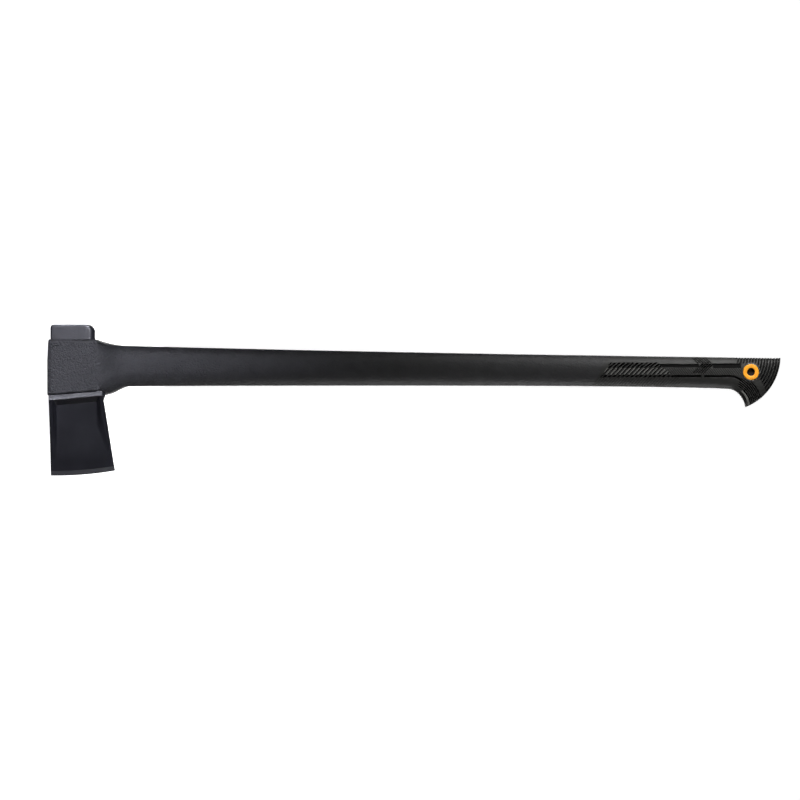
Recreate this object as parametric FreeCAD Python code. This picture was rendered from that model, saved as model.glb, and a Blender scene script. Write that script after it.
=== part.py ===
import FreeCAD, Part
import math
import os

# Splitting maul: a forged steel head, a hollow glass-filled nylon handle that is moulded round the
# head's web, a soft grip sleeve over the rear of the handle, and a hanging eyelet near the butt.
#
# Millimetres.  The maul stands on the flat end of its head: +Z runs up the handle to the butt,
# +X points to the cutting edge and -X to the poll.  Y is the thickness, and the XZ plane is the
# plane of symmetry.  The origin is where the handle's axis meets the flat end of the collar.

V = FreeCAD.Vector

# ---------------------------------------------------------------- driving dimensions
OVERALL_LENGTH = 915.0       # flat end of the collar to the butt

# Collar: the block of the moulding that wraps the head's web
COLLAR_BACK = 33.3           # axis to the poll side
COLLAR_FRONT = 36.7          # axis to the seam with the wedge, at the toe
COLLAR_HALF = 28.0           # half thickness
COLLAR_LENGTH = 60.0         # straight sides along the handle
COLLAR_EDGE = 3.5            # rounding round the flat end
COLLAR_SQUARENESS = 8.0      # superellipse power of the section
SEAM_LAP = 0.8               # what the moulding laps past the seam, beside the toe
END_RELIEF = 1.3             # how far the flat end falls back at its poll side
END_FLAT_BACK = 8.0          # the flat end stays flat this far to the poll side of the axis

# Neck: from the collar down to the shaft
NECK_LENGTH = 42.0
SEAM_RISE = 5.4              # the seam with the wedge climbs this much from toe to heel
HEEL_EAR_LENGTH = 72.8       # flat end to the tip of the steel ear behind the heel

# Shaft
SHAFT_BACK_NECK = 25.2       # axis to the poll side, at the neck
SHAFT_BACK_BUTT = 10.0       # the same at the butt
SHAFT_BACK_BOW = 5.4         # how much the back of the shaft bows between the two
SHAFT_FRONT = 24.8           # axis to the edge side
SHAFT_FRONT_NECK = 0.8       # what the front gains towards the neck
GRIP_SWELL = 4.4             # what the front gains towards the hook
SHAFT_HALF_NECK = 16.5       # half thickness at the neck
SHAFT_HALF_GRIP = 14.0       # half thickness at the grip
SHAFT_SQUARENESS = 2.3
SHAFT_WALL = 5.0

# Butt and hook
BUTT_RADIUS = 67.1           # big round of the butt, seen from the side
BUTT_EDGE = 5.0              # rounding of the butt's edges
BUTT_FLAT = 0.15             # where the last section of the butt closes it
HOOK_TIP_BACK = 43.4         # butt to the tip of the hook
FINGER_RADIUS = 29.4         # hollow of the hook, where the hand stops
FINGER_END_ANGLE = 82.0      # slope of the hollow where it meets the tip, in degrees
FINGER_BLEND = 1.5           # softness of the start of the hollow
HOOK_SQUARENESS = 3.0

# Grip sleeve
SLEEVE_LENGTH = 222.0        # its front edge to the butt, on the axis
SLEEVE_WALL = 2.6
SLEEVE_LEAN = 26.0           # its front edge leans this many degrees
CORE_BUTT_COVER = 16.0       # sleeve beyond the end of the handle's core
TONGUE_HALF = 8.0            # half thickness of the core's tongue inside the hook
TONGUE_COVER = 5.0           # sleeve round the tongue's outline

# Eyelet
EYELET_FROM_BUTT = 37.0
EYELET_OFFSET = 7.75         # its centre lies this far to the edge side of the axis
RING_RADIUS = 10.0
RING_HOLE = 4.85
RING_DEPTH = 4.0
PLUG_RADIUS = 7.0
PLUG_DISH = 3.0              # depth of the dish in each face of the plug

# Head: poll
POLL_RISE = 18.3             # poll face above the collar
POLL_HALF = 23.0
POLL_SEAT = 1.5              # how deep the poll sits in the collar
POLL_LOW = 3.6               # flat end of the collar to the poll's near side
POLL_HIGH = 59.4
POLL_CORNER = 9.5            # rounding at the handle side of the striking face
POLL_NEAR_CORNER = 4.5
POLL_EDGE = 1.5

# Head: web, with its two locking holes
WEB_LOW = 9.0
WEB_HIGH = 57.0
WEB_HALF = 18.0
LOCK_RADIUS = 8.0
LOCK_MARGIN = 13.5           # centre of a locking hole to the end of the web

# Head: wedge
TOE_LOW = 1.8                # flat end of the collar to the toe side, at the seam
TOE_DRAFT = 0.9
EDGE_FROM_AXIS = 137.2       # axis to the cutting edge, at the toe
HEEL_TIP_BACK = 6.2          # the heel tip lies this much nearer the axis
HEEL_TIP_LENGTH = 83.0       # flat end of the collar to the heel tip
EDGE_BOW = 1.9               # bow of the cutting edge
EAR_WAIST = 70.3             # flat end to the heel side where it is narrowest
EAR_WAIST_DROP = 6.2         # seam to that waist
LIP_HALF = 30.0
LIP_HEIGHT = 7.0
BEVEL_HEIGHT = 6.3
BEVEL_HALF = 4.6
EDGE_HALF = 0.4
CHEEK_HOLLOW = 2.2           # hollow of the wedge's cheeks
POCKET_STEP = 4.0            # height of the scoop under the lip
POCKET_DEPTH = 6.0
POCKET_LENGTH = 58.0         # lip to where the scoop runs out
POCKET_MARGIN = 9.0          # rim left beside the pocket, at the toe and at the heel
POCKET_RAMP = 6.0            # length of the slope at each end of the pocket
POCKET_FULLNESS = 0.45       # where along the pocket its floor is measured, and how deep there
POCKET_CLEAR = 0.5           # how far the cutting shape stands off the cheek where it runs out
FACET_LIP = 5.0              # corner facets at the lip
FACET_EDGE = 2.0             # and at the cutting edge

SECTION_POINTS = 48

# ---------------------------------------------------------------- derived places
BUTT_CENTRE_X = -SHAFT_BACK_BUTT - 1.0
BUTT_CENTRE_Z = OVERALL_LENGTH - BUTT_RADIUS
TIP_Z = OVERALL_LENGTH - HOOK_TIP_BACK
NECK_END = COLLAR_LENGTH + NECK_LENGTH
EYELET_Z = OVERALL_LENGTH - EYELET_FROM_BUTT
SLEEVE_START = OVERALL_LENGTH - SLEEVE_LENGTH


# ---------------------------------------------------------------- helpers
def mix(a, b, share):
    return a + (b - a) * share


def oval(z, back, front, half, power):
    """Closed superellipse in the plane at height z, from x = back to x = front."""
    centre = (back + front) / 2
    reach = (front - back) / 2
    points = []
    for k in range(SECTION_POINTS):
        turn = 2 * math.pi * k / SECTION_POINTS
        across = abs(math.cos(turn) / reach) ** power
        through = abs(math.sin(turn) / half) ** power
        radius = (across + through) ** (-1 / power)
        points.append(V(centre + radius * math.cos(turn), radius * math.sin(turn), z))
    curve = Part.BSplineCurve()
    curve.interpolate(Points=points, PeriodicFlag=True)
    return Part.Wire([curve.toShape()])


def loft(sections, ruled=False):
    return Part.makeLoft(sections, True, ruled)


def side_prism(edges, half):
    """Solid with an outline drawn in the XZ plane and the thickness 2 * half along Y."""
    face = Part.Face(Part.Wire(edges))
    face.translate(V(0, -half, 0))
    return face.extrude(V(0, 2 * half, 0))


def side_polygon(points, half):
    corners = [V(x, 0, z) for z, x in points]
    return side_prism(Part.makePolygon(corners + corners[:1]).Edges, half)


def rod_across(x, z, radius, y_low, y_high):
    return Part.makeCylinder(radius, y_high - y_low, V(x, y_low, z), V(0, 1, 0))


# ---------------------------------------------------------------- outline of the handle
def shaft_share(z):
    return (z - NECK_END) / (OVERALL_LENGTH - NECK_END)


def back_edge(z):
    """x of the poll side of the shaft and grip."""
    share = shaft_share(z)
    straight = mix(SHAFT_BACK_NECK, SHAFT_BACK_BUTT, share)
    return -(straight - SHAFT_BACK_BOW * share * (1 - share))


def plain_front(z):
    """x of the edge side of the shaft, without the hook."""
    share = (z - NECK_END) / (TIP_Z - NECK_END)
    return SHAFT_FRONT + SHAFT_FRONT_NECK * (1 - share) ** 8 + GRIP_SWELL * share ** 6


def butt_round(z):
    return BUTT_CENTRE_X + math.sqrt(max(BUTT_RADIUS ** 2 - (z - BUTT_CENTRE_Z) ** 2, 0))


def finger_round(z):
    """x of the hollow of the hook, a circle that ends on the tip."""
    slope = math.radians(FINGER_END_ANGLE)
    centre_z = TIP_Z - FINGER_RADIUS * math.sin(slope)
    centre_x = butt_round(TIP_Z) + FINGER_RADIUS * math.cos(slope)
    return centre_x - math.sqrt(FINGER_RADIUS ** 2 - (z - centre_z) ** 2)


def front_edge(z):
    """x of the edge side, with the hook."""
    if z >= TIP_Z:
        return butt_round(z)
    if z < TIP_Z - FINGER_RADIUS:
        return plain_front(z)
    a = plain_front(z)
    b = finger_round(z)
    return (a + b + math.hypot(a - b, FINGER_BLEND)) / 2


def half_thickness(z):
    half = mix(SHAFT_HALF_NECK, SHAFT_HALF_GRIP, min(1, 1.5 * shaft_share(z)))
    into_edge = z - (OVERALL_LENGTH - BUTT_EDGE)
    if into_edge > 0:
        half -= BUTT_EDGE - math.sqrt(max(BUTT_EDGE ** 2 - into_edge ** 2, 0))
    return half


def squareness(z):
    """The section goes from an oval on the shaft to a squarer one on the hook."""
    share = min(1, max(0, (z - SLEEVE_START) / (TIP_Z - SLEEVE_START)))
    return mix(SHAFT_SQUARENESS, HOOK_SQUARENESS, share)


def handle_section(z, inset=0.0):
    return oval(z, back_edge(z) + inset, front_edge(z) - inset, half_thickness(z) - inset,
                squareness(z))


# ---------------------------------------------------------------- outer shape of the handle
def neck_section(share):
    """Section of the neck, at a share of its length from the collar to the shaft."""
    z = mix(COLLAR_LENGTH, NECK_END, share)
    quick = 1 - (1 - share) ** 2
    ramp = (1 - math.cos(math.pi * share ** 1.5)) / 2
    back = mix(-COLLAR_BACK, back_edge(NECK_END), quick)
    front = mix(COLLAR_FRONT + SEAM_LAP, front_edge(NECK_END), ramp)
    half = mix(COLLAR_HALF, half_thickness(NECK_END), 1 - (1 - share) ** 2)
    power = mix(COLLAR_SQUARENESS, SHAFT_SQUARENESS, 1 - (1 - share) ** 3)
    return oval(z, back, front, half, power)


def end_relief():
    """What the flat end loses towards its poll side."""
    reach = COLLAR_BACK + 1
    drop = END_RELIEF * (reach - END_FLAT_BACK) / (COLLAR_BACK - END_FLAT_BACK)
    return side_polygon([(0, -END_FLAT_BACK), (drop, -reach), (-1, -reach), (-1, -END_FLAT_BACK)],
                        2 * COLLAR_HALF)


def collar():
    block = Part.Face(neck_section(0)).extrude(V(0, 0, -COLLAR_LENGTH))
    flat_end = [edge for edge in block.Edges if edge.BoundBox.ZMax < COLLAR_LENGTH / 2]
    return block.makeFillet(COLLAR_EDGE, flat_end).cut(end_relief())


def neck():
    steps = 7
    return loft([neck_section(k / steps) for k in range(steps + 1)])


def shaft():
    steps = 9
    heights = [mix(NECK_END, SLEEVE_START, k / steps) for k in range(steps + 1)]
    sections = [neck_section(1)] + [handle_section(z) for z in heights[1:]]
    return loft(sections)


def plain_grip():
    """The grip before the hollow of the hook."""
    steps = 4
    last = TIP_Z - FINGER_RADIUS
    return loft([handle_section(mix(SLEEVE_START, last, k / steps)) for k in range(steps + 1)])


def finger_outer():
    """The grip along the hollow of the hook, up to its tip, in steps of equal turn."""
    steps = 10
    slope = math.radians(FINGER_END_ANGLE)
    heights = []
    for k in range(steps + 1):
        share = math.sin(slope * k / steps) / math.sin(slope)
        heights.append(TIP_Z - FINGER_RADIUS * (1 - share))
    return loft([handle_section(z) for z in heights])


def butt_outer():
    """The hook and butt beyond the tip."""
    steps = 10
    last = OVERALL_LENGTH - BUTT_FLAT
    heights = []
    for k in range(steps + 1):
        heights.append(mix(TIP_Z, last, math.sin(math.pi / 2 * k / steps)))
    return loft([handle_section(z) for z in heights])


def rear_outer():
    return plain_grip().fuse([finger_outer(), butt_outer()])


# ---------------------------------------------------------------- inside of the grip
def core():
    """The handle's own stiff core inside the sleeve: the shaft carried on, with a tongue."""
    steps = 6
    first = SLEEVE_START - SLEEVE_LENGTH / 4
    sections = []
    for k in range(steps + 1):
        z = mix(first, OVERALL_LENGTH - CORE_BUTT_COVER, k / steps)
        sections.append(oval(z, back_edge(z) + SLEEVE_WALL, plain_front(z) - SLEEVE_WALL,
                             half_thickness(z) - SLEEVE_WALL, SHAFT_SQUARENESS))
    return loft(sections).fuse(hook_tongue())


def hook_tongue():
    tip = butt_round(TIP_Z)
    root = plain_front(TIP_Z) - 3 * SLEEVE_WALL
    nose = tip - 2 * TONGUE_COVER
    return side_polygon([(TIP_Z - TONGUE_COVER, root), (TIP_Z + TONGUE_COVER / 2, nose),
                         (TIP_Z + TONGUE_COVER * 1.5, nose),
                         (TIP_Z + 4 * TONGUE_COVER, root)], TONGUE_HALF)


def sleeve_zone():
    """Everything to the rear of the sleeve's leaning front edge."""
    reach = 80.0
    lean = reach * math.tan(math.radians(SLEEVE_LEAN))
    top = OVERALL_LENGTH + 10
    return side_polygon([(SLEEVE_START + lean, -reach), (SLEEVE_START - lean, reach),
                         (top, reach), (top, -reach)], reach)


def hollow():
    """The hollow of the shaft, from the neck to the eyelet, where the moulding's port is."""
    steps = 14
    first = NECK_END + SHAFT_WALL
    sections = []
    for k in range(steps + 1):
        z = mix(first, EYELET_Z, k / steps)
        share = min(1, max(0, (z - first) / (SLEEVE_START - SLEEVE_LENGTH / 4 - first)))
        wall = SHAFT_WALL + SLEEVE_WALL * share
        sections.append(oval(z, back_edge(z) + wall, plain_front(z) - wall,
                             half_thickness(z) - wall, SHAFT_SQUARENESS))
    return loft(sections)


def eyelet_bores():
    """The plug's bore, and the two seats of the rings."""
    outside = 2 * SHAFT_HALF_GRIP
    face = ring_face()
    bore = rod_across(EYELET_OFFSET, EYELET_Z, PLUG_RADIUS, -outside, outside)
    left = rod_across(EYELET_OFFSET, EYELET_Z, RING_RADIUS, face - RING_DEPTH, outside)
    right = rod_across(EYELET_OFFSET, EYELET_Z, RING_RADIUS, -outside, RING_DEPTH - face)
    return bore.fuse([left, right])


def ring_face():
    """y of the outer face of a ring, a little below the grip's side."""
    return half_thickness(EYELET_Z) - 0.3


# ---------------------------------------------------------------- head
def seam(z):
    """x of the seam between the collar and the wedge."""
    share = (z - TOE_LOW) / (HEEL_EAR_LENGTH - SEAM_RISE - TOE_LOW)
    return COLLAR_FRONT - SEAM_RISE * share ** 1.3 if share > 0 else COLLAR_FRONT


def seam_arc():
    heel = HEEL_EAR_LENGTH - SEAM_RISE
    middle = (TOE_LOW + heel) / 2
    return Part.Arc(V(seam(TOE_LOW), 0, TOE_LOW), V(seam(middle), 0, middle),
                    V(seam(heel), 0, heel)).toShape()


def edge_line(z):
    """x of the cutting edge."""
    share = (z - TOE_LOW) / (HEEL_TIP_LENGTH - TOE_LOW)
    return EDGE_FROM_AXIS - HEEL_TIP_BACK * share + 4 * EDGE_BOW * share * (1 - share)


def wedge_outline():
    toe = TOE_LOW + TOE_DRAFT
    heel_seam = V(seam(HEEL_EAR_LENGTH - SEAM_RISE), 0, HEEL_EAR_LENGTH - SEAM_RISE)
    ear = V(COLLAR_FRONT, 0, HEEL_EAR_LENGTH)
    waist = V(COLLAR_FRONT + EAR_WAIST_DROP, 0, EAR_WAIST)
    heel_tip = V(edge_line(HEEL_TIP_LENGTH), 0, HEEL_TIP_LENGTH)
    middle = (toe + HEEL_TIP_LENGTH) / 2
    edge_middle = V(edge_line(middle), 0, middle)
    toe_tip = V(edge_line(toe), 0, toe)
    toe_seam = V(seam(TOE_LOW), 0, TOE_LOW)
    return [seam_arc(),
            Part.LineSegment(heel_seam, ear).toShape(),
            Part.LineSegment(ear, waist).toShape(),
            Part.LineSegment(waist, heel_tip).toShape(),
            Part.Arc(heel_tip, edge_middle, toe_tip).toShape(),
            Part.LineSegment(toe_tip, toe_seam).toShape()]


def cheek(x, lip_x, bevel_x):
    """Half thickness of the wedge between the lip and the bevel."""
    share = (x - lip_x) / (bevel_x - lip_x)
    return mix(LIP_HALF, BEVEL_HALF, share) - 4 * CHEEK_HOLLOW * share * (1 - share)


def wedge_section(z):
    """Closed outline of the wedge in the plane at height z."""
    start = COLLAR_FRONT - 2 * SEAM_RISE
    lip_x = seam(z) + LIP_HEIGHT
    bevel_x = edge_line(z) - BEVEL_HEIGHT
    middle_x = (lip_x + bevel_x) / 2
    middle_half = cheek(middle_x, lip_x, bevel_x)

    def at(x, y):
        return V(x, y, z)

    edge_x = edge_line(z)
    return Part.Wire([
        Part.LineSegment(at(start, -LIP_HALF), at(start, LIP_HALF)).toShape(),
        Part.LineSegment(at(start, LIP_HALF), at(lip_x, LIP_HALF)).toShape(),
        Part.Arc(at(lip_x, LIP_HALF), at(middle_x, middle_half), at(bevel_x, BEVEL_HALF)).toShape(),
        Part.LineSegment(at(bevel_x, BEVEL_HALF), at(edge_x, EDGE_HALF)).toShape(),
        Part.LineSegment(at(edge_x, EDGE_HALF), at(edge_x, -EDGE_HALF)).toShape(),
        Part.LineSegment(at(edge_x, -EDGE_HALF), at(bevel_x, -BEVEL_HALF)).toShape(),
        Part.Arc(at(bevel_x, -BEVEL_HALF), at(middle_x, -middle_half), at(lip_x, -LIP_HALF)).toShape(),
        Part.LineSegment(at(lip_x, -LIP_HALF), at(start, -LIP_HALF)).toShape()])


def pocket_section(z, depth):
    """What the scoop under the lip takes from the +Y cheek at height z, clear of it at its ends."""
    lip_x = seam(z) + LIP_HEIGHT
    bevel_x = edge_line(z) - BEVEL_HEIGHT
    end_x = lip_x + POCKET_LENGTH
    outside = LIP_HALF + POCKET_DEPTH
    step_x = lip_x + POCKET_STEP
    middle_x = mix(step_x, end_x, POCKET_FULLNESS)

    def at(x, y):
        return V(x, y, z)

    brow = at(lip_x, LIP_HALF + POCKET_CLEAR)
    step = at(step_x, cheek(step_x, lip_x, bevel_x) - depth)
    middle = at(middle_x, cheek(middle_x, lip_x, bevel_x) - POCKET_FULLNESS * depth)
    end = at(end_x, cheek(end_x, lip_x, bevel_x) + POCKET_CLEAR)
    return Part.Wire([Part.LineSegment(at(lip_x, outside), brow).toShape(),
                      Part.LineSegment(brow, step).toShape(),
                      Part.Arc(step, middle, end).toShape(),
                      Part.LineSegment(end, at(end_x, outside)).toShape(),
                      Part.LineSegment(at(end_x, outside), at(lip_x, outside)).toShape()])


def pocket():
    low = TOE_LOW + POCKET_MARGIN
    high = EAR_WAIST - POCKET_MARGIN
    return loft([pocket_section(low - POCKET_RAMP / 2, -POCKET_CLEAR),
                 pocket_section(low + POCKET_RAMP / 2, POCKET_DEPTH),
                 pocket_section(high - POCKET_RAMP / 2, POCKET_DEPTH),
                 pocket_section(high + POCKET_RAMP / 2, -POCKET_CLEAR)], ruled=True)


def corner_facet(lip_z, bevel_z, inward):
    """Prism that takes the corner between the +Y cheek and the toe or heel side."""
    def triangle(x, z, half, size):
        corners = [V(x, half + 1, z + inward * (size + 1)), V(x, half + 1, z - inward),
                   V(x, half - size, z - inward)]
        return Part.makePolygon(corners + corners[:1])

    lip_x = COLLAR_FRONT + LIP_HEIGHT
    bevel_x = EDGE_FROM_AXIS - HEEL_TIP_BACK - BEVEL_HEIGHT
    return loft([triangle(lip_x, lip_z, LIP_HALF, FACET_LIP),
                 triangle(bevel_x, bevel_z, BEVEL_HALF, FACET_EDGE)], ruled=True)


def mirrored(shape):
    return shape.mirror(V(0, 0, 0), V(0, 1, 0))


def wedge():
    heights = [-5, 20, 45, 70, 90]
    body = loft([wedge_section(z) for z in heights])
    body = body.common(side_prism(wedge_outline(), LIP_HALF + 2))
    cuts = [pocket(),
            corner_facet(TOE_LOW, TOE_LOW + TOE_DRAFT, 1),
            corner_facet(EAR_WAIST, HEEL_TIP_LENGTH, -1)]
    cuts += [mirrored(cut) for cut in cuts]
    return body.cut(cuts)


def poll():
    top = -(COLLAR_BACK + POLL_RISE)
    far = POLL_CORNER
    near = POLL_NEAR_CORNER
    diagonal = 1 - math.sqrt(0.5)
    base = POLL_SEAT - COLLAR_BACK
    outline = [
        Part.LineSegment(V(base, 0, POLL_LOW), V(top + near, 0, POLL_LOW)).toShape(),
        Part.Arc(V(top + near, 0, POLL_LOW),
                 V(top + near * diagonal, 0, POLL_LOW + near * diagonal),
                 V(top, 0, POLL_LOW + near)).toShape(),
        Part.LineSegment(V(top, 0, POLL_LOW + near), V(top, 0, POLL_HIGH - far)).toShape(),
        Part.Arc(V(top, 0, POLL_HIGH - far),
                 V(top + far * diagonal, 0, POLL_HIGH - far * diagonal),
                 V(top + far, 0, POLL_HIGH)).toShape(),
        Part.LineSegment(V(top + far, 0, POLL_HIGH), V(base, 0, POLL_HIGH)).toShape(),
        Part.LineSegment(V(base, 0, POLL_HIGH), V(base, 0, POLL_LOW)).toShape()]
    block = side_prism(outline, POLL_HALF)
    rims = [edge for edge in block.Edges
            if edge.BoundBox.YLength < 1e-6 and edge.BoundBox.XMin < base - 1]
    return block.makeChamfer(POLL_EDGE, rims)


def web():
    depth = COLLAR_BACK + COLLAR_FRONT + LIP_HEIGHT / 2
    plate = Part.makeBox(depth, 2 * WEB_HALF, WEB_HIGH - WEB_LOW,
                         V(-COLLAR_BACK, -WEB_HALF, WEB_LOW))
    holes = []
    for z in (WEB_LOW + LOCK_MARGIN, WEB_HIGH - LOCK_MARGIN):
        holes.append(rod_across(0, z, LOCK_RADIUS, -2 * WEB_HALF, 2 * WEB_HALF))
    return plate.cut(holes)


# ---------------------------------------------------------------- pieces
def maul_head():
    return poll().fuse([web(), wedge()]).removeSplitter()


def grip_sleeve():
    outer = shaft().fuse(rear_outer()).common(sleeve_zone())
    return outer.cut([core(), eyelet_bores()])


def handle_moulding(head, sleeve):
    outer = collar().fuse([neck(), shaft(), rear_outer()])
    return outer.cut([head, sleeve, hollow(), eyelet_bores()])


def eyelet_ring(side):
    face = ring_face()
    low, high = sorted((side * (face - RING_DEPTH), side * face))
    ring = rod_across(EYELET_OFFSET, EYELET_Z, RING_RADIUS, low, high)
    return ring.cut(rod_across(EYELET_OFFSET, EYELET_Z, RING_HOLE, low - 1, high + 1))


def eyelet_plug():
    half = ring_face() - RING_DEPTH
    body = rod_across(EYELET_OFFSET, EYELET_Z, PLUG_RADIUS, -half, half)
    dishes = [rod_across(EYELET_OFFSET, EYELET_Z, RING_HOLE, half - PLUG_DISH, half + 1),
              rod_across(EYELET_OFFSET, EYELET_Z, RING_HOLE, -half - 1, PLUG_DISH - half)]
    return body.cut(dishes)


def main():
    os.makedirs("parts", exist_ok=True)
    head = maul_head()
    sleeve = grip_sleeve()
    pieces = {
        "maul_head": head,
        "handle_moulding": handle_moulding(head, sleeve),
        "grip_sleeve": sleeve,
        "eyelet_ring_left": eyelet_ring(1),
        "eyelet_ring_right": eyelet_ring(-1),
        "eyelet_plug": eyelet_plug(),
    }
    for node, shape in pieces.items():
        print(node, "solids", len(shape.Solids), "valid", shape.isValid(),
              "volume", round(shape.Volume / 1000, 1), "cm3")
        shape.exportStep("parts/" + node + ".step")


main()
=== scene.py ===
import math

import bmesh
import bpy
import numpy as np
from mathutils import Matrix, Vector


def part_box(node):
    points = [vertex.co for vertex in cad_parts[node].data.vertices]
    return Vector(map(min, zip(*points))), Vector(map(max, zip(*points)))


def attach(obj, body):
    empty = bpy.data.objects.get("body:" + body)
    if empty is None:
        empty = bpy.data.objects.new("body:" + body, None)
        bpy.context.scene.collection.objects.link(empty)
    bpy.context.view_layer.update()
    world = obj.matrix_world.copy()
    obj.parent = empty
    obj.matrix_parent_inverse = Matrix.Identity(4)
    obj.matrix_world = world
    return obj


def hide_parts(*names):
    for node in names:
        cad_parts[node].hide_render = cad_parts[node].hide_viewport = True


# Looks of the splitting maul.  The maul stands on the flat end of its head: +Z up the handle, +X to
# the cutting edge, -X to the poll, and the XZ plane is its plane of symmetry.  Lengths below are in
# millimetres, as in the design, and MM turns them into the frame's metres.

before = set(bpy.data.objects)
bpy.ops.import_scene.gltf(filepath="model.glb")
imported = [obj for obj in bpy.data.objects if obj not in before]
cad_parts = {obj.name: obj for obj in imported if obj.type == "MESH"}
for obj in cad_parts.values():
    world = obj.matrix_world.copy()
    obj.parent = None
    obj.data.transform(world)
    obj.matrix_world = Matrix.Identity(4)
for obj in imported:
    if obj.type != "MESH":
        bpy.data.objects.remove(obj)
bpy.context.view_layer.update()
MM = 0.001


def node_box(node):
    """Low and high corner of a node, in millimetres."""
    low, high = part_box(node)
    return np.array(low) / MM, np.array(high) / MM


# ---------------------------------------------------------------- sizes
HEAD_LOW = node_box("maul_head")[0]
GRIP_HIGH = node_box("grip_sleeve")[1]
RING_LOW, RING_HIGH = node_box("eyelet_ring_left")
PLUG_HIGH = node_box("eyelet_plug")[1]

LENGTH = round(GRIP_HIGH[2])
COLLAR_BACK = 33.3
COLLAR_FRONT = 36.7
COLLAR_HALF = 28.0
COLLAR_LENGTH = 60.0
COLLAR_CHAMFER_RUN = 4.9
COLLAR_CHAMFER_DROP = 1.2
COLLAR_ROUND = 1.6
COLLAR_SIDE_ROUND = 0.4  # share of the rounding that the flat sides take
COLLAR_POWER = 16.0
NECK_END = 102.0
NECK_FALL = 1.5  # how late the neck's front comes in
NECK_THINNING = 0.85  # how late its sides come in
END_RELIEF = 1.3
END_FLAT_BACK = 8.0

SEAM_RISE = 5.4
SEAM_CURVE = 1.3
SEAM_GAP = 2.0
SEAM_GAP_INNER = 24.0
SEAM_LAP = 0.1
SEAM_SPARE = 2.0  # moulding past the seam, before the seam is cut
SEAM_CUT_DEPTH = 40.0
CUT_BELOW = 4.0
CUT_SIDE = 50.0  # y that is outside every piece
MARK_DEPTH = 1.8
MARK_X = -24.3
MARK_WIDTH = 1.8
MARK_START = 6.0
MARK_END = 19.0
EAR_LENGTH = 72.8
TOE_LOW = 1.8
TOE_DRAFT = 0.9

SHAFT_BACK_NECK = 25.2
SHAFT_BACK_BUTT = 10.0
SHAFT_BACK_BOW = 5.4
SHAFT_FRONT = 24.8
SHAFT_FRONT_NECK = 0.8
SHAFT_NECK_FADE = 8
GRIP_SWELL = 4.4
GRIP_SWELL_CURVE = 6
SHAFT_HALF_NECK = 16.5
SHAFT_HALF_GRIP = 14.0
SHAFT_THINNING = 1.5  # the shaft is at its grip thickness two thirds of the way up
SHAFT_POWER = 2.3
HOOK_POWER = 3.0
HOOK_POWER_RUN = 45.0

SLEEVE_START = LENGTH - 222.0
SLEEVE_LEAN = math.tan(math.radians(26.0))
SLEEVE_LEAN_RUN = 40.0
BUTT_RADIUS = 67.1
BUTT_EDGE = 4.0
BUTT_OFFSET = 1.0
TIP_Z = LENGTH - 43.4
FINGER_RADIUS = 29.4
FINGER_SLOPE = math.radians(82.0)
FINGER_BLEND = 1.5

EYELET = np.array([(RING_LOW[0] + RING_HIGH[0]) / 2, (RING_LOW[2] + RING_HIGH[2]) / 2])
RING_RADIUS = (RING_HIGH[0] - RING_LOW[0]) / 2


# ---------------------------------------------------------------- small maths
def mix(a, b, share):
    return a + (b - a) * share


def smooth(low, high, value):
    """0 below low, 1 above high, and a smooth step between."""
    share = np.clip((value - low) / (high - low), 0.0, 1.0)
    return share * share * (3 - 2 * share)


def band(low, high, value, soft):
    """1 between low and high, with soft edges."""
    rising = smooth(low - soft / 2, low + soft / 2, value)
    return rising * smooth(-high - soft / 2, -high + soft / 2, -value)


def stripes(phase, duty, soft):
    """1 on the stripes of a pattern that repeats at every whole number of phase."""
    off = np.abs((phase + 0.5) % 1.0 - 0.5) * 2
    return smooth(-duty - soft, -duty + soft, -off)


# ---------------------------------------------------------------- outline of the handle
def back_edge(z):
    """x of the back of the shaft and grip."""
    share = (z - NECK_END) / (LENGTH - NECK_END)
    return -(mix(SHAFT_BACK_NECK, SHAFT_BACK_BUTT, share) - SHAFT_BACK_BOW * share * (1 - share))


def plain_front(z):
    """x of the front of the shaft and grip, without the hook."""
    share = (z - NECK_END) / (TIP_Z - NECK_END)
    at_neck = SHAFT_FRONT_NECK * max(1 - share, 0) ** SHAFT_NECK_FADE
    return SHAFT_FRONT + at_neck + GRIP_SWELL * share ** GRIP_SWELL_CURVE


BUTT_X = -SHAFT_BACK_BUTT - BUTT_OFFSET
BUTT_Z = LENGTH - BUTT_RADIUS


def butt_round(z):
    """x of the large round that closes the butt."""
    return BUTT_X + math.sqrt(max(BUTT_RADIUS ** 2 - (z - BUTT_Z) ** 2, 0.0))


FINGER_Z = TIP_Z - FINGER_RADIUS * math.sin(FINGER_SLOPE)
FINGER_X = butt_round(TIP_Z) + FINGER_RADIUS * math.cos(FINGER_SLOPE)


def front_edge(z):
    """The plain shaft, blended into the hollow of the hook, and past the tip the round of the butt."""
    if z >= TIP_Z:
        return butt_round(z)
    plain = plain_front(z)
    above = max(z - FINGER_Z, 0.0)
    below = max(FINGER_Z - z, 0.0)
    hollow = FINGER_X - math.sqrt(FINGER_RADIUS ** 2 - above ** 2) - below
    return (plain + hollow + math.hypot(plain - hollow, FINGER_BLEND)) / 2


def half_thickness(z):
    """Half thickness of the shaft and grip, rounded off at the butt's end."""
    share = min(1.0, SHAFT_THINNING * (z - NECK_END) / (LENGTH - NECK_END))
    half = mix(SHAFT_HALF_NECK, SHAFT_HALF_GRIP, share)
    into_edge = z - (LENGTH - BUTT_EDGE)
    if into_edge > 0:
        half -= BUTT_EDGE - math.sqrt(max(BUTT_EDGE ** 2 - into_edge ** 2, 0.0))
    return half


def seam(z):
    """x of the seam between the collar and the wedge."""
    share = np.maximum(z - TOE_LOW, 0.0) / (EAR_LENGTH - SEAM_RISE - TOE_LOW)
    return COLLAR_FRONT - SEAM_RISE * share ** SEAM_CURVE


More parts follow.
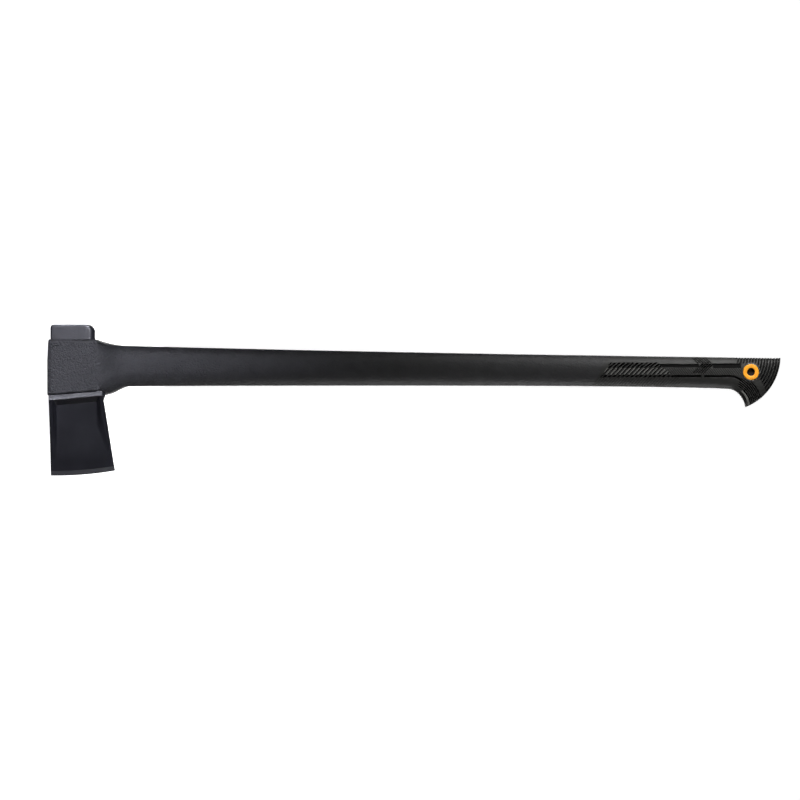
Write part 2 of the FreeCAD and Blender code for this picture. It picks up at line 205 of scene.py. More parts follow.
# ---------------------------------------------------------------- meshes
def loop(z, back, front, half, power, turns):
    """Superellipse in the plane at height z."""
    reach = (front - back) / 2
    across = np.abs(np.cos(turns) / reach) ** power
    through = np.abs(np.sin(turns) / half) ** power
    radius = (across + through) ** (-1 / power)
    x = (front + back) / 2 + radius * np.cos(turns)
    y = radius * np.sin(turns)
    return np.stack([x, y, np.full_like(x, z)], axis=1)


def spaced_turns(count, centres, width, weight):
    """Turns round a section, closer together near the given angles."""
    fine = np.linspace(0, 2 * math.pi, 7200, endpoint=False)
    density = np.ones_like(fine)
    for centre in centres:
        off = (fine - centre + math.pi) % (2 * math.pi) - math.pi
        density += weight * np.exp(-(off / width) ** 2)
    total = np.concatenate([[0], np.cumsum(density)])
    wanted = np.arange(count) / count * total[-1]
    return np.interp(wanted, total, np.linspace(0, 2 * math.pi, 7201))


def close_ends(loops, rings):
    """Adds shrinking rings inside the first and last loop, so that each end is a fine flat cap."""
    start = [mix(loops[0], loops[0].mean(axis=0), k / (rings + 0.5)) for k in range(rings, 0, -1)]
    end = [mix(loops[-1], loops[-1].mean(axis=0), k / (rings + 0.5)) for k in range(1, rings + 1)]
    return np.concatenate([np.array(start), loops, np.array(end)])


def tube_faces(rows, columns):
    """Quads between the loops, and one face over each end."""
    index = np.arange(rows * columns).reshape(rows, columns)
    right = np.roll(index, -1, axis=1)
    quads = np.stack([index[:-1], right[:-1], right[1:], index[1:]], axis=-1).reshape(-1, 4)
    return [tuple(q) for q in quads.tolist()] + [tuple(index[0][::-1].tolist()),
                                                 tuple(index[-1].tolist())]


def make_object(name, points, faces, materials, material_of=None):
    """Object from points in millimetres, with its faces turned outwards."""
    mesh = bpy.data.meshes.new(name)
    mesh.from_pydata((np.asarray(points) * MM).tolist(), [], faces)
    for material in materials:
        mesh.materials.append(material)
    if material_of is not None:
        mesh.polygons.foreach_set("material_index", material_of)
    shell = bmesh.new()
    shell.from_mesh(mesh)
    bmesh.ops.recalc_face_normals(shell, faces=shell.faces)
    shell.to_mesh(mesh)
    shell.free()
    obj = bpy.data.objects.new(name, mesh)
    bpy.context.collection.objects.link(obj)
    return obj


def tube_object(name, loops, materials, rings=6):
    """Closed solid through a stack of loops."""
    closed = close_ends(loops, rings)
    rows, columns = closed.shape[:2]
    return make_object(name, closed.reshape(-1, 3), tube_faces(rows, columns), materials)


def prism_object(name, outline, low_y, high_y):
    """Straight prism across the maul, from an outline of (x, z) points."""
    count = len(outline)
    points = [(x, low_y, z) for x, z in outline] + [(x, high_y, z) for x, z in outline]
    sides = [(k, (k + 1) % count, count + (k + 1) % count, count + k) for k in range(count)]
    faces = sides + [tuple(range(count))[::-1], tuple(range(count, 2 * count))]
    return make_object(name, points, faces, [])


def boolean(target, tool, operation):
    """Applies a boolean with a tool that is then removed."""
    step = target.modifiers.new("boolean", "BOOLEAN")
    step.operation = operation
    step.solver = "EXACT"
    step.object = tool
    apply_modifiers(target)
    bpy.data.objects.remove(tool)


def apply_modifiers(obj):
    depsgraph = bpy.context.evaluated_depsgraph_get()
    mesh = bpy.data.meshes.new_from_object(obj.evaluated_get(depsgraph))
    obj.modifiers.clear()
    obj.data = mesh


def shade(obj, angle):
    """Smooth shading, with edges sharper than an angle kept crisp."""
    obj.data.shade_smooth()
    obj.data.set_sharp_from_angle(angle=math.radians(angle))


def circle_outline(centre_x, centre_z, radius, count):
    turns = [2 * math.pi * k / count for k in range(count)]
    return [(centre_x + radius * math.cos(t), centre_z + radius * math.sin(t)) for t in turns]


# ---------------------------------------------------------------- materials
def new_material(name):
    material = bpy.data.materials.new(name)
    material.use_nodes = True
    tree = material.node_tree
    shader = tree.nodes["Principled BSDF"]
    return material, tree, shader


def place(tree):
    """Place on the object, in metres."""
    return tree.nodes.new("ShaderNodeTexCoord").outputs["Object"]


def noise(tree, scale, detail=2.0, roughness=0.5):
    """Noise in the object's space, with about scale grains to a metre."""
    made = tree.nodes.new("ShaderNodeTexNoise")
    made.inputs["Scale"].default_value = scale
    made.inputs["Detail"].default_value = detail
    made.inputs["Roughness"].default_value = roughness
    tree.links.new(place(tree), made.inputs["Vector"])
    return made.outputs["Fac"]


def ramp(tree, factor, stops):
    """Colour ramp from a list of (position, colour)."""
    made = tree.nodes.new("ShaderNodeValToRGB")
    elements = made.color_ramp.elements
    while len(elements) < len(stops):
        elements.new(0.5)
    for element, (position, colour) in zip(elements, stops):
        element.position = position
        element.color = (*colour, 1.0)
    tree.links.new(factor, made.inputs["Fac"])
    return made.outputs["Color"]


def levels(tree, factor, low, high):
    """Maps a 0 to 1 factor to low to high."""
    made = tree.nodes.new("ShaderNodeMapRange")
    made.inputs["To Min"].default_value = low
    made.inputs["To Max"].default_value = high
    tree.links.new(factor, made.inputs["Value"])
    return made.outputs["Result"]


def bump(tree, shader, height, distance, strength, below=None):
    """Bumps from a height; below is the normal of a coarser bump that they lie on."""
    made = tree.nodes.new("ShaderNodeBump")
    made.inputs["Strength"].default_value = strength
    made.inputs["Distance"].default_value = distance
    tree.links.new(height, made.inputs["Height"])
    if below is not None:
        tree.links.new(below, made.inputs["Normal"])
    tree.links.new(made.outputs["Normal"], shader.inputs["Normal"])
    return made.outputs["Normal"]


def fading(tree, z_low, z_high, at_low, at_high):
    """A factor that changes up the handle, between two heights in metres."""
    parts = tree.nodes.new("ShaderNodeSeparateXYZ")
    tree.links.new(place(tree), parts.inputs["Vector"])
    made = tree.nodes.new("ShaderNodeMapRange")
    for name, value in (("From Min", z_low), ("From Max", z_high), ("To Min", at_low), ("To Max", at_high)):
        made.inputs[name].default_value = value
    tree.links.new(parts.outputs["Z"], made.inputs["Value"])
    return made.outputs["Result"]


def scaled(tree, value, factor):
    """Product of two values."""
    made = tree.nodes.new("ShaderNodeMath")
    made.operation = "MULTIPLY"
    tree.links.new(value, made.inputs[0])
    tree.links.new(factor, made.inputs[1])
    return made.outputs["Value"]


PEBBLE_SCALE = 560.0
PEBBLE_FADE_M = (0.08, 0.30)
PEBBLE_ON_SHAFT = 0.62

# The grip's mesh carries its relief as an attribute: RELIEF_ZERO on the smooth surface, and
# RELIEF_SPAN more for each millimetre of depth.
RELIEF = "relief"
RELIEF_ZERO = 0.30
RELIEF_SPAN = 0.12
# Relief levels of the ribs, the flat and the grooves, where the grip's colour takes its painted highlight
# and painted shade.
RIB_SHARE, FLAT_SHARE, GROOVE_SHARE = 0.19, 0.29, 0.38


def greys(*values):
    """Grey colours for a ramp."""
    return [(value,) * 3 for value in values]


def moulded_nylon():
    """Glass-filled nylon with a coarse moulded pebble, weaker up the shaft, and a finer grain."""
    material, tree, shader = new_material("moulded_nylon")
    cloud = noise(tree, 70.0, 4.0)
    pebble = noise(tree, PEBBLE_SCALE, 1.5)
    grain = noise(tree, 1700.0, 3.0, 0.6)
    colour = ramp(tree, cloud, [(0.3, (0.0125, 0.0125, 0.0135)), (0.7, (0.0175, 0.0175, 0.0190))])
    tree.links.new(colour, shader.inputs["Base Color"])
    tree.links.new(levels(tree, pebble, 0.44, 0.60), shader.inputs["Roughness"])
    shader.inputs["Specular IOR Level"].default_value = 0.36
    faded = scaled(tree, pebble, fading(tree, *PEBBLE_FADE_M, 1.0, PEBBLE_ON_SHAFT))
    first = bump(tree, shader, faded, 0.0015, 1.0)
    bump(tree, shader, grain, 0.00022, 0.8, first)
    return material


def grip_rubber():
    """Elastomer, duller down in its grooves and glossier on its ribs, with painted shade darkening the
    grooves and a painted highlight brightening the ribs.
    """
    material, tree, shader = new_material("grip_rubber")
    cloud = noise(tree, 80.0, 4.0)
    grain = noise(tree, 2000.0, 3.0, 0.6)
    relief = tree.nodes.new("ShaderNodeAttribute")
    relief.attribute_name = RELIEF
    colour = ramp(tree, cloud, [(0.3, (0.0190, 0.0190, 0.0178)), (0.7, (0.0240, 0.0240, 0.0226))])
    steps = (RIB_SHARE, FLAT_SHARE, GROOVE_SHARE)
    # Painted light: the colour is multiplied by 7 on the ribs, a painted highlight, and by 0.05 down in the
    # grooves, painted shade.
    depth = ramp(tree, relief.outputs["Fac"], list(zip(steps, greys(7.0, 1.0, 0.05))))
    painted_light_mix = tree.nodes.new("ShaderNodeMix")
    painted_light_mix.data_type = "RGBA"
    painted_light_mix.blend_type = "MULTIPLY"
    painted_light_mix.inputs["Factor"].default_value = 1.0
    tree.links.new(colour, painted_light_mix.inputs["A"])
    tree.links.new(depth, painted_light_mix.inputs["B"])
    tree.links.new(painted_light_mix.outputs["Result"], shader.inputs["Base Color"])
    dull = ramp(tree, relief.outputs["Fac"], list(zip((0.18, 0.30, 0.40), greys(0.36, 0.54, 0.95))))
    tree.links.new(dull, shader.inputs["Roughness"])
    shader.inputs["Specular IOR Level"].default_value = 0.26
    first = bump(tree, shader, noise(tree, PEBBLE_SCALE, 1.5), 0.0004, 1.0)
    bump(tree, shader, grain, 0.00012, 0.7, first)
    return material


def coated_steel():
    """Forged steel under a thin dark coat."""
    material, tree, shader = new_material("coated_steel")
    cloud = noise(tree, 45.0, 5.0)
    forge = noise(tree, 300.0, 3.0)
    grain = noise(tree, 1500.0, 2.0)
    colour = ramp(tree, cloud, [(0.3, (0.0065, 0.0065, 0.0085)), (0.7, (0.0100, 0.0100, 0.0128))])
    tree.links.new(colour, shader.inputs["Base Color"])
    tree.links.new(levels(tree, cloud, 0.25, 0.35), shader.inputs["Roughness"])
    shader.inputs["Specular IOR Level"].default_value = 0.55
    first = bump(tree, shader, forge, 0.00018, 0.7)
    bump(tree, shader, grain, 0.00010, 0.7, first)
    return material


def ground_steel():
    """The ground bevel of the edge, with fine grinding lines along it."""
    material, tree, shader = new_material("ground_steel")
    mapping = tree.nodes.new("ShaderNodeMapping")
    mapping.inputs["Scale"].default_value = (2600.0, 40.0, 40.0)
    tree.links.new(place(tree), mapping.inputs["Vector"])
    lines = tree.nodes.new("ShaderNodeTexNoise")
    lines.inputs["Scale"].default_value = 1.0
    lines.inputs["Detail"].default_value = 3.0
    tree.links.new(mapping.outputs["Vector"], lines.inputs["Vector"])
    colour = ramp(tree, lines.outputs["Fac"], [(0.3, (0.050, 0.051, 0.054)), (0.7, (0.082, 0.083, 0.088))])
    tree.links.new(colour, shader.inputs["Base Color"])
    tree.links.new(levels(tree, lines.outputs["Fac"], 0.38, 0.55), shader.inputs["Roughness"])
    shader.inputs["Metallic"].default_value = 0.5
    bump(tree, shader, lines.outputs["Fac"], 0.00003, 0.5)
    return material


def orange_plastic():
    """Bright smooth plastic of the eyelet's rings."""
    material, tree, shader = new_material("orange_plastic")
    cloud = noise(tree, 300.0, 3.0)
    grain = noise(tree, 2600.0, 2.0)
    colour = ramp(tree, cloud, [(0.3, (0.93, 0.36, 0.020)), (0.7, (0.98, 0.42, 0.035))])
    tree.links.new(colour, shader.inputs["Base Color"])
    tree.links.new(levels(tree, grain, 0.34, 0.48), shader.inputs["Roughness"])
    bump(tree, shader, grain, 0.00002, 0.5)
    return material


def black_plastic_painted_shade():
    """Black plastic of the plug, with painted shade: coloured darker than black plastic and hardly shining,
    so that it reads as a dark hollow.
    """
    material, tree, shader = new_material("black_plastic_painted_shade")
    grain = noise(tree, 1800.0, 3.0)
    # Colour far below the plastic's own black: painted shade of the hollow.
    colour = ramp(tree, grain, [(0.3, (0.0008, 0.0008, 0.0008)), (0.7, (0.0014, 0.0014, 0.0014))])
    tree.links.new(colour, shader.inputs["Base Color"])
    tree.links.new(levels(tree, grain, 0.65, 0.85), shader.inputs["Roughness"])
    shader.inputs["Specular IOR Level"].default_value = 0.02
    bump(tree, shader, grain, 0.00004, 0.5)
    return material


# ---------------------------------------------------------------- camera, floor and light
VIEW_WIDTH = 1.0013
VIEW_DISTANCE = 6.0
VIEW_X = 0.0426
VIEW_Z = 0.4396


def make_camera():
    """A long lens that looks along +Y at the maul lying across the picture, head to the left."""
    data = bpy.data.cameras.new("camera")
    data.sensor_width = 36.0
    data.lens = VIEW_DISTANCE * data.sensor_width / VIEW_WIDTH
    data.clip_end = 100.0
    camera = bpy.data.objects.new("camera", data)
    camera.matrix_world = Matrix(((0, -1, 0, VIEW_X), (0, 0, -1, -VIEW_DISTANCE), (1, 0, 0, VIEW_Z),
                                  (0, 0, 0, 1)))
    bpy.context.collection.objects.link(camera)
    bpy.context.scene.camera = camera


def stage_material(name, shade_of_grey, glow):
    """Faintly uneven paper that glows, so that the floor and walls are seen as white."""
    material, tree, shader = new_material(name)
    dust = noise(tree, 3.0, 3.0)
    shades = ramp(tree, dust, list(zip((0.3, 0.7), greys(shade_of_grey, 0.99 * shade_of_grey))))
    tree.links.new(shades, shader.inputs["Base Color"])
    shader.inputs["Roughness"].default_value = 0.9
    shader.inputs["Emission Color"].default_value = (1, 1, 1, 1)
    shader.inputs["Emission Strength"].default_value = glow
    return material


def make_stage():
    """A pale floor that sweeps up into round walls and a ceiling, well outside the lights."""
    reach, height, bend, sectors = 9.0, 12.0, 2.5, 72
    hub, flat = 0.02, 3.0
    corner = [(reach - bend + bend * math.sin(t), bend - bend * math.cos(t))
              for t in np.linspace(0, math.pi / 2, 13)]
    profile = [(hub, 0.0), (flat, 0.0)] + corner + [(reach, height - bend)]
    profile += [(r, height - z) for r, z in corner[::-1]] + [(hub, height)]
    radius, z = np.array(profile).T
    turns = np.linspace(0, 2 * math.pi, sectors, endpoint=False)
    points = np.stack([np.outer(np.cos(turns), radius), np.outer(np.sin(turns), radius),
                       np.tile(z, (sectors, 1))], axis=-1).reshape(-1, 3) / MM
    index = np.arange(sectors * len(profile)).reshape(sectors, len(profile))
    ahead = np.roll(index, -1, axis=0)
    quads = np.stack([index[:, :-1], index[:, 1:], ahead[:, 1:], ahead[:, :-1]], axis=-1)
    floor = make_object("studio_floor", points, [tuple(q) for q in quads.reshape(-1, 4).tolist()],
                        [stage_material("studio_white", 0.85, 0.97)])
    floor.data.shade_smooth()
    floor.visible_glossy = False
    floor.visible_diffuse = False


WHITE = (1.0, 1.0, 1.0)
COOL = (0.96, 0.97, 1.10)


def area_light(name, place_m, target_m, size, watts, spread, colour=WHITE):
    """Rectangular light of a size in metres, with its beam's spread in degrees."""
    data = bpy.data.lights.new(name, "AREA")
    data.shape = "RECTANGLE"
    data.size, data.size_y = size
    data.energy = watts
    data.spread = math.radians(spread)
    light = bpy.data.objects.new(name, data)
    light.location = place_m
    direction = Vector(target_m) - light.location
    light.rotation_euler = direction.to_track_quat("-Z", "Y").to_euler()
    light.visible_camera = False
    data.color = colour
    bpy.context.collection.objects.link(light)


def make_lights():
    """Narrow soft boxes for butt, shaft and head, a rim light along the front, and one behind."""
    area_light("key_softbox", (-2.1, -1.6, 1.12), (0.0, 0.0, 1.12), (1.0, 0.6), 5.6, 26)
    area_light("shaft_fill", (1.0, -2.1, 0.52), (0.0, 0.0, 0.52), (1.5, 0.3), 0.26, 14)
    area_light("shaft_strip", (-2.0, -1.4, 0.45), (0.0, 0.0, 0.45), (1.0, 0.4), 0.25, 24)
    area_light("head_softbox", (-0.9, -2.3, 0.30), (0.0, 0.0, -0.02), (0.3, 0.3), 1.08, 16, COOL)
    area_light("top_strip", (-1.6, -0.1, 1.10), (0.0, 0.0, 0.90), (0.5, 0.5), 0.35, 35)
    area_light("low_rim", (1.6, 0.15, 0.85), (0.0, 0.0, 0.75), (1.5, 1.1), 3.6, 40)
    area_light("back_softbox", (0.0, 3.0, 0.8), (0.0, 0.0, 0.45), (3.0, 1.4), 42, 100)
    world = bpy.data.worlds.new("studio")
    world.use_nodes = True
    background = world.node_tree.nodes["Background"]
    background.inputs["Color"].default_value = (1, 1, 1, 1)
    background.inputs["Strength"].default_value = 0.05
    bpy.context.scene.world = world


# ---------------------------------------------------------------- handle
HANDLE_COLUMNS = 256
NECK_ROWS = 44
SHAFT_ROWS = 110
NECK_FRONT_SPARE = 0.4
LEAN_FROM = 0.8


def collar_heights():
    """Heights of the collar's sections, closer together at its rounded end."""
    return np.concatenate([np.linspace(0, COLLAR_ROUND, 7),
                           np.linspace(COLLAR_ROUND + 0.6, COLLAR_CHAMFER_RUN, 6),
                           np.linspace(COLLAR_CHAMFER_RUN + 0.7, COLLAR_LENGTH - 1, 26)])


def collar_loop(z, turns):
    """Section of the collar, with its end lifted towards the poll."""
    into = max(COLLAR_ROUND - z, 0.0)
    inset = COLLAR_ROUND - math.sqrt(COLLAR_ROUND ** 2 - into ** 2)
    chamfer = COLLAR_CHAMFER_DROP * max(1 - z / COLLAR_CHAMFER_RUN, 0.0)
    points = loop(z, inset - COLLAR_BACK, COLLAR_FRONT + SEAM_SPARE - inset,
                  COLLAR_HALF - chamfer - COLLAR_SIDE_ROUND * inset, COLLAR_POWER, turns)
    lift = np.clip((-END_FLAT_BACK - points[:, 0]) / (COLLAR_BACK - END_FLAT_BACK), 0, 1)
    points[:, 2] += END_RELIEF * lift * (1 - z / COLLAR_LENGTH)
    return points


def neck_loop(share, turns):
    """Section of the neck, which turns the collar's rounded box into the shaft's oval."""
    quick = 1 - (1 - share) ** 2
    fall = (1 - math.cos(math.pi * share ** NECK_FALL)) / 2
    thinner = (1 - math.cos(math.pi * share ** NECK_THINNING)) / 2
    return loop(mix(COLLAR_LENGTH, NECK_END, share),
                mix(-COLLAR_BACK, back_edge(NECK_END), quick),
                mix(COLLAR_FRONT + NECK_FRONT_SPARE, front_edge(NECK_END), fall),
                mix(COLLAR_HALF, half_thickness(NECK_END), thinner),
                1 / mix(1 / COLLAR_POWER, 1 / SHAFT_POWER, quick), turns)


def shaft_loop(share, turns):
    """Section of the shaft; the last ones lean over to the slant of the grip's start."""
    z = mix(NECK_END, SLEEVE_START, share)
    points = loop(z, back_edge(z), front_edge(z), half_thickness(z), SHAFT_POWER, turns)
    points[:, 2] -= SLEEVE_LEAN * points[:, 0] * smooth(LEAN_FROM, 1.0, share)
    return points


def handle_loops(turns):
    """Sections from the collar's flat end to the leaning edge of the grip."""
    loops = [collar_loop(z, turns) for z in collar_heights()]
    loops += [neck_loop(k / NECK_ROWS, turns) for k in range(NECK_ROWS + 1)]
    loops += [shaft_loop(k / SHAFT_ROWS, turns) for k in range(1, SHAFT_ROWS + 1)]
    return np.array(loops)


def seam_cutter(gap, low_y, high_y):
    """Prism that takes the moulding away from the seam, down into the space of the steel wedge."""
    heights = np.linspace(-CUT_BELOW, EAR_LENGTH - SEAM_RISE, 40)
    line = [(seam(z) - gap, z) for z in heights]
    top = EAR_LENGTH + gap / 2
    deep = COLLAR_FRONT + SEAM_CUT_DEPTH
    corners = [(COLLAR_FRONT - gap / 2, top), (deep, top), (deep, -CUT_BELOW)]
    return prism_object("cutter", line + corners, low_y, high_y)


def mark_cutter(side):
    """Shallow slot that the mould leaves in the side of the collar; side is the sign of y."""
    low, high = sorted((side * (COLLAR_HALF - MARK_DEPTH), side * CUT_SIDE))
    x_low, x_high = MARK_X - MARK_WIDTH / 2, MARK_X + MARK_WIDTH / 2
    outline = [(x_low, MARK_START), (x_high, MARK_START), (x_high, MARK_END), (x_low, MARK_END)]
    return prism_object("mark", outline, low, high)


def make_handle(material):
    """The moulding, cut away for the wedge and the poll, with its marks and its open outer seam."""
    corner = math.atan2(COLLAR_HALF, COLLAR_BACK)
    turns = spaced_turns(HANDLE_COLUMNS, [corner, math.pi - corner, -corner, math.pi + corner], 0.10, 3.0)
    handle = tube_object("handle_body", handle_loops(turns), [material])
    boolean(handle, seam_cutter(-SEAM_LAP, -CUT_SIDE, CUT_SIDE), "DIFFERENCE")
    boolean(handle, tube_object("poll_room", poll_loops(POLL_GAP), []), "DIFFERENCE")
    for side in (-1, 1):
        boolean(handle, mark_cutter(side), "DIFFERENCE")
        low, high = sorted((side * SEAM_GAP_INNER, side * CUT_SIDE))
        boolean(handle, seam_cutter(SEAM_GAP, low, high), "DIFFERENCE")
    shade(handle, 28)
    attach(handle, "root")
    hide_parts("handle_moulding")


# ---------------------------------------------------------------- head: wedge
LIP_HALF = 30.0
LIP_HEIGHT = 5.7
EDGE_X = 137.2
EDGE_BOW = 1.9
HEEL_TIP_Z = 83.0
HEEL_TIP_DROP = 6.2
WAIST_Z = 70.3
WAIST_X = COLLAR_FRONT + 6.2
BEVEL_HEIGHT = 6.3
BEVEL_HALF = 4.6
EDGE_HALF = 0.3
CHEEK_HOLLOW = 2.2
SCOOP_DEPTH = 10.5
SCOOP_STEP = 7.0
SCOOP_LENGTH = 72.0
SCOOP_POWER = 2.4
LIP_RISE = 0.35
TOE_RIM = 3.6
TOE_WALL = 6.0
WEDGE_ROUND = 0.9
# Width of the heel's rim, and of the facet inside it, at distances from the handle's axis.
HEEL_RIM_AT = ([40, 64, 98, 112], [4.2, 4.2, 1.2, 0.8])
HEEL_FACET_AT = ([40, 73, 102, 116, 131], [9.6, 14.2, 8.0, 4.0, 2.0])
HEEL_FALL = 0.8
HEEL_SOFT = 1.6


def edge_line(z):
    """x of the cutting edge."""
    share = (z - TOE_LOW) / (HEEL_TIP_Z - TOE_LOW)
    return EDGE_X - HEEL_TIP_DROP * share + 4 * EDGE_BOW * share * (1 - share)


def toe_line(x):
    """z of the toe side."""
    return TOE_LOW + TOE_DRAFT * np.clip((x - COLLAR_FRONT) / (EDGE_X - COLLAR_FRONT), 0, 1)


def heel_line(x):
    """z of the heel side: up the ear, in to the waist, and out to the tip."""
    ear_start = COLLAR_FRONT - SEAM_RISE
    return np.interp(x, [ear_start, COLLAR_FRONT, WAIST_X, EDGE_X - HEEL_TIP_DROP],
                     [EAR_LENGTH - SEAM_RISE, EAR_LENGTH, WAIST_Z, HEEL_TIP_Z])


def wedge_steps():
    """Shares of the way from seam to edge, closer together at the lip and the bevel."""
    length = EDGE_X - COLLAR_FRONT
    down = np.concatenate([np.linspace(0, 1.2, 6), np.linspace(1.8, 6.2, 9), np.linspace(6.5, 13, 20),
                           np.linspace(13.7, length - 7.2, 118), np.linspace(length - 6.9, length, 16)])
    return down / length


def wedge_columns(toe, heel):
    """z of the points of one row, closer together at the toe and heel sides."""
    from_toe = np.concatenate([np.linspace(0, 1.2, 6), np.linspace(1.8, 12, 19)])
    from_heel = np.concatenate([np.linspace(18, 1.8, 28), np.linspace(1.2, 0, 6)])
    middle = np.linspace(toe + 12, heel - 18, 76)[1:-1]
    return np.concatenate([toe + from_toe, middle, heel - from_heel])


def wedge_grid():
    """x and z of the grid that covers the wedge from seam to edge and from toe to heel."""
    rows_x, rows_z = [], []
    for share in wedge_steps():
        toe, heel = TOE_LOW, WAIST_Z
        for _ in range(30):
            toe = toe_line(mix(seam(toe), edge_line(toe), share))
            heel = heel_line(mix(seam(heel), edge_line(heel), share))
        z = wedge_columns(float(toe), float(heel))
        rows_z.append(z)
        rows_x.append(mix(seam(z), edge_line(z), share))
    return np.array(rows_x), np.array(rows_z)


def ease(value, width):
    """The positive part of a value, with a rounded start."""
    return (value + np.sqrt(value * value + width * width)) / 2


def wedge_half(x, z):
    """Half thickness of the wedge: lip, scoop, hollow cheek, rims at toe and heel, and ground bevel."""
    down = x - seam(z)
    up = edge_line(z) - x
    from_toe = z - toe_line(x)
    from_heel = heel_line(x) - z
    share = np.clip((down - LIP_HEIGHT) / (down + up - LIP_HEIGHT - BEVEL_HEIGHT), 0, 1)
    half = mix(LIP_HALF, BEVEL_HALF, share) - 4 * CHEEK_HOLLOW * share * (1 - share)
    half = np.where(up < BEVEL_HEIGHT, mix(EDGE_HALF, BEVEL_HALF, up / BEVEL_HEIGHT), half)
    rim = np.interp(x, *HEEL_RIM_AT)
    inner = np.interp(x, *HEEL_FACET_AT)
    walls = [1 - np.clip((down - LIP_HEIGHT) / SCOOP_STEP, 0, 1),
             1 - smooth(TOE_RIM, TOE_RIM + TOE_WALL, from_toe),
             1 - smooth(0, 1, (from_heel - rim) / (inner - rim))]
    outside = np.clip(sum(wall ** SCOOP_POWER for wall in walls) ** (1 / SCOOP_POWER), 0, 1)
    fade = np.clip(1 - (down - LIP_HEIGHT - SCOOP_STEP) / SCOOP_LENGTH, 0, 1)
    half = half - SCOOP_DEPTH * fade ** 1.5 * (1 - outside)
    half = half - LIP_RISE * (1 - np.clip(down / LIP_HEIGHT, 0, 1) ** 2)
    below_lip = smooth(LIP_HEIGHT - 3, LIP_HEIGHT + 2, down)
    half = half - HEEL_FALL * ease(rim - from_heel, HEEL_SOFT) * below_lip
    above_bevel = np.clip(up / BEVEL_HEIGHT, 0, 1)
    for distance in (from_toe, from_heel, down):
        into = np.clip(WEDGE_ROUND - distance, 0, WEDGE_ROUND)
        half = half - (WEDGE_ROUND - np.sqrt(WEDGE_ROUND ** 2 - into ** 2)) * above_bevel
    return np.maximum(half, EDGE_HALF)


def make_wedge(materials):
    """Both cheeks on one grid, joined round its rim; the bevel's faces take the second material."""
    x, z = wedge_grid()
    rows, columns = x.shape
    half = wedge_half(x, z)
    near = np.stack([x, -half, z], axis=-1).reshape(-1, 3)
    far = np.stack([x, half, z], axis=-1).reshape(-1, 3)
    index = np.arange(rows * columns).reshape(rows, columns)
    quads = np.stack([index[:-1, :-1], index[:-1, 1:], index[1:, 1:], index[1:, :-1]], axis=-1)
    quads = quads.reshape(-1, 4)
    rim = np.concatenate([index[0, :-1], index[:-1, -1], index[-1, :0:-1], index[:0:-1, 0]])
    after = np.roll(rim, -1)
    count = rows * columns
    walls = np.stack([rim, rim + count, after + count, after], axis=-1)
    faces = np.concatenate([quads, quads[:, ::-1] + count, walls[:, ::-1]])
    bevel = (edge_line(z) - x < BEVEL_HEIGHT - 0.05)[:-1, :-1].reshape(-1)
    slots = np.concatenate([bevel, bevel, np.zeros(len(walls), bool)]).astype(np.int32)
    return make_object("maul_head_steel", np.concatenate([near, far]),
                       [tuple(f) for f in faces.tolist()], materials, slots)


# ---------------------------------------------------------------- head: poll and web
POLL_FACE = HEAD_LOW[0]
POLL_FOOT = -26.0
POLL_HALF = 23.0
POLL_LOW = 3.6
POLL_HIGH = 59.4
POLL_CORNER = 9.5
POLL_NEAR_CORNER = 4.0
POLL_SIDE_CORNER = 7.0
POLL_NEAR_SIDE_CORNER = 2.0
POLL_EDGE = 1.8
POLL_GAP = 0.5
POLL_FLAT_FROM = 24.0


def rounding(radius, into):
    """How far a rounded edge has come in, at a depth into its rounding."""
    into = min(max(into, 0.0), radius)
    return radius - math.sqrt(radius ** 2 - into ** 2)


def rounded_rectangle(low, high, half, low_radius, high_radius, per_corner, per_side):
    """Closed loop of (y, z) points, with its own corner radius at each end."""
    corners = [(half - high_radius, high - high_radius, high_radius, 0.0),
               (high_radius - half, high - high_radius, high_radius, math.pi / 2),
               (low_radius - half, low + low_radius, low_radius, math.pi),
               (half - low_radius, low + low_radius, low_radius, 1.5 * math.pi)]
    arcs = []
    for y, z, radius, start in corners:
        turns = start + np.linspace(0, math.pi / 2, per_corner)
        arcs.append(np.stack([y + radius * np.cos(turns), z + radius * np.sin(turns)], axis=1))
    loop_points = []
    for arc, following in zip(arcs, arcs[1:] + arcs[:1]):
        side = np.linspace(arc[-1], following[0], per_side + 2)[1:-1]
        loop_points += [arc, side]
    return np.concatenate(loop_points)


def poll_loops(gap=0.0):
    """Sections of the poll from its foot inside the collar to the striking face."""
    depths = np.concatenate([[POLL_FOOT - POLL_FACE], np.linspace(POLL_FLAT_FROM, POLL_CORNER, 12),
                             POLL_CORNER * np.cos(np.linspace(0.05, math.pi / 2, 26))])
    loops = []
    for depth in depths:
        x = POLL_FACE + depth
        low = POLL_LOW + rounding(POLL_NEAR_CORNER, POLL_NEAR_CORNER - depth) - gap
        high = POLL_HIGH - rounding(POLL_CORNER, POLL_CORNER - depth) + gap
        half = POLL_HALF - rounding(POLL_EDGE, POLL_EDGE - depth) + gap
        outline = rounded_rectangle(low, high, half, POLL_NEAR_SIDE_CORNER + gap,
                                    POLL_SIDE_CORNER + gap, 10, 14)
        loops.append(np.stack([np.full(len(outline), x), outline[:, 0], outline[:, 1]], axis=1))
    return np.array(loops)


WEB_LOW = 9.0
WEB_HIGH = 57.0
WEB_HALF = 18.0
WEB_LAP = 3.0
LOCK_RADIUS = 8.0
LOCK_MARGIN = 13.5


def make_web():
    """The plate inside the moulding that joins poll and wedge, with its two locking holes."""
    back, front = POLL_FOOT - WEB_LAP, COLLAR_FRONT + WEB_LAP
    outline = [(back, WEB_LOW), (front, WEB_LOW), (front, WEB_HIGH), (back, WEB_HIGH)]
    web = prism_object("web", outline, -WEB_HALF, WEB_HALF)
    for z in (WEB_LOW + LOCK_MARGIN, WEB_HIGH - LOCK_MARGIN):
        hole = prism_object("hole", circle_outline(0, z, LOCK_RADIUS, 64), -2 * WEB_HALF, 2 * WEB_HALF)
        boolean(web, hole, "DIFFERENCE")
    return web


